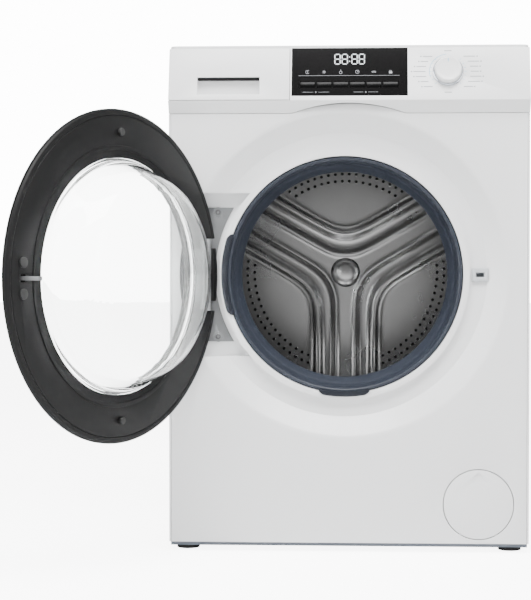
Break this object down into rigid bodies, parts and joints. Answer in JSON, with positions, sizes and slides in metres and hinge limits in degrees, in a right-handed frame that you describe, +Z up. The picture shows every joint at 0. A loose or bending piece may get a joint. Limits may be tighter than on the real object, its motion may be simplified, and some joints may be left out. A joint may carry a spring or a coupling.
{
  "type": "front load washing machine",
  "caption": "Front-loading washing machine with a round hinged door held open, a dispenser drawer, a programme knob and a sprung tub with a spinning drum.",
  "frame": {"origin": "on the floor at the centre of the rectangle of the four feet", "axes": "+X to the right seen from the front, +Y to the back, +Z up; the front faces -Y"},
  "size_m": [0.794, 0.9009, 0.84],
  "materials": {
    "base_plastic": "moulded, blue-grey",
    "worktop_board": "white laminate on board",
    "white_panel": "satin enamel",
    "white_plastic": "satin",
    "grey_plastic": "moulded",
    "black_gloss": "polished",
    "key_black": "polished",
    "knob_white": "satin",
    "knob_ring": "bright",
    "base_grey": "galvanised",
    "foot_rubber": "matt",
    "hinge_zinc": "zinc plated",
    "door_black": "fine grain",
    "bumper_rubber": "matt",
    "door_glass": "clear",
    "gasket_rubber": "moulded",
    "concrete": "cast",
    "drum_steel": "stainless",
    "cast_aluminium": "cast",
    "bearing_steel": "ground",
    "hose_rubber": "matt"
  },
  "bodies": {
    "cabinet": {"back_panel": "base_grey", "base_frame": "base_plastic", "control_fascia": "white_plastic", "damper_cylinders": "bearing_steel", "dispenser_hose": "hose_rubber", "dispenser_housing": "grey_plastic", "display_window": "black_gloss", "door_gasket": "gasket_rubber", "drain_pump": "grey_plastic", "front_panel": "white_panel", "hinge_plate": "hinge_zinc", "inlet_hose": "hose_rubber", "inlet_valve": "grey_plastic", "knob_bezel": "knob_ring", "lock_module": "grey_plastic", "mains_gland": "grey_plastic", "rear_cover": "base_plastic", "side_left": "white_panel", "side_right": "white_panel", "spring_rail": "base_grey", "sump_hose": "hose_rubber", "suspension_springs": "bearing_steel", "transit_caps": "grey_plastic", "worktop": "worktop_board"},
    "door": {"door_outer_ring": "door_black", "door_inner_ring": "door_black", "door_glass": "door_glass", "hinge_leaf": "hinge_zinc", "door_bumpers": "bumper_rubber"},
    "door_hook": {"door_hook": "hinge_zinc"},
    "tub": {"tub_front": "grey_plastic", "tub_rear": "grey_plastic", "shaft_bearings": "bearing_steel", "counterweight_front": "concrete", "counterweight_top": "concrete", "heater": "bearing_steel", "motor_case": "cast_aluminium", "drive_belt": "hose_rubber", "damper_rods": "bearing_steel"},
    "drum": {"drum_shell": "drum_steel", "drum_back": "drum_steel", "lifters": "grey_plastic", "spider": "cast_aluminium", "drum_pulley": "cast_aluminium"},
    "motor_rotor": {"motor_rotor": "bearing_steel"},
    "drawer": {"drawer_front": "white_plastic", "drawer_tray": "grey_plastic"},
    "programme_knob": {"programme_knob": "knob_white"},
    "service_door": {"service_door": "white_panel"},
    "pump_filter": {"pump_filter": "grey_plastic"},
    "key_1": {"key_1": "key_black"},
    "key_2": {"key_2": "key_black"},
    "key_3": {"key_3": "key_black"},
    "key_4": {"key_4": "key_black"},
    "key_5": {"key_5": "key_black"},
    "key_6": {"key_6": "key_black"},
    "foot_1": {"foot_1": "foot_rubber"},
    "foot_2": {"foot_2": "foot_rubber"},
    "foot_3": {"foot_3": "foot_rubber"},
    "foot_4": {"foot_4": "foot_rubber"}
  },
  "joints": [
    {"name": "door_hinge", "type": "hinge", "parent": "cabinet", "child": "door", "pos_m": [-0.232, -0.236, 0.459], "axis": [0, 0, -1], "range_deg": [-121.5, 1]},
    {"name": "hook_pivot", "type": "hinge", "parent": "door", "child": "door_hook", "pos_m": [-0.47629, -0.6136, 0.459], "axis": [0, 0, 1], "range_deg": [-5, 5], "stiffness_Nm_per_rad": 0.5},
    {"name": "drawer_slide", "type": "slide", "parent": "cabinet", "child": "drawer", "axis": [0, -1, 0], "range_m": [0, 0.19]},
    {"name": "knob_turn", "type": "hinge", "parent": "cabinet", "child": "programme_knob", "pos_m": [0.163, -0.22727, 0.794], "axis": [0, 0.956, -0.2933], "continuous": true},
    {"name": "key_1_press", "type": "slide", "parent": "cabinet", "child": "key_1", "axis": [0, 0.956, -0.2933], "range_m": [0, 0.0015], "stiffness_N_per_m": 600},
    {"name": "key_2_press", "type": "slide", "parent": "cabinet", "child": "key_2", "axis": [0, 0.956, -0.2933], "range_m": [0, 0.0015], "stiffness_N_per_m": 600},
    {"name": "key_3_press", "type": "slide", "parent": "cabinet", "child": "key_3", "axis": [0, 0.956, -0.2933], "range_m": [0, 0.0015], "stiffness_N_per_m": 600},
    {"name": "key_4_press", "type": "slide", "parent": "cabinet", "child": "key_4", "axis": [0, 0.956, -0.2933], "range_m": [0, 0.0015], "stiffness_N_per_m": 600},
    {"name": "key_5_press", "type": "slide", "parent": "cabinet", "child": "key_5", "axis": [0, 0.956, -0.2933], "range_m": [0, 0.0015], "stiffness_N_per_m": 600},
    {"name": "key_6_press", "type": "slide", "parent": "cabinet", "child": "key_6", "axis": [0, 0.956, -0.2933], "range_m": [0, 0.0015], "stiffness_N_per_m": 600},
    {"name": "tub_float", "type": "slide", "parent": "cabinet", "child": "tub", "axis": [0, 0, 1], "range_m": [-0.006, 0.006], "stiffness_N_per_m": 12000, "springref_m": 0.0309, "deforming": ["suspension_springs", "sump_hose", "dispenser_hose", "door_gasket"]},
    {"name": "drum_spin", "type": "hinge", "parent": "tub", "child": "drum", "pos_m": [-0.007, -0.23, 0.459], "axis": [0, 1, 0], "continuous": true},
    {"name": "motor_spin", "type": "hinge", "parent": "tub", "child": "motor_rotor", "pos_m": [0.033, -0.23, 0.129], "axis": [0, 1, 0], "continuous": true},
    {"name": "service_door_hinge", "type": "hinge", "parent": "cabinet", "child": "service_door", "pos_m": [0.2147, -0.22875, 0.03], "axis": [1, 0, 0], "range_deg": [0, 90]},
    {"name": "filter_turn", "type": "hinge", "parent": "cabinet", "child": "pump_filter", "pos_m": [0.2147, -0.23, 0.08], "axis": [0, 1, 0], "range_deg": [0, 180]},
    {"name": "foot_1_screw", "type": "slide", "parent": "cabinet", "child": "foot_1", "axis": [0, 0, -1], "range_m": [0, 0.012]},
    {"name": "foot_2_screw", "type": "slide", "parent": "cabinet", "child": "foot_2", "axis": [0, 0, -1], "range_m": [0, 0.012]},
    {"name": "foot_3_screw", "type": "slide", "parent": "cabinet", "child": "foot_3", "axis": [0, 0, -1], "range_m": [0, 0.012]},
    {"name": "foot_4_screw", "type": "slide", "parent": "cabinet", "child": "foot_4", "axis": [0, 0, -1], "range_m": [0, 0.012]}
  ],
  "couplings": [
    {"joint": "motor_spin", "follows": "drum_spin", "ratio": 13.461}
  ]
}
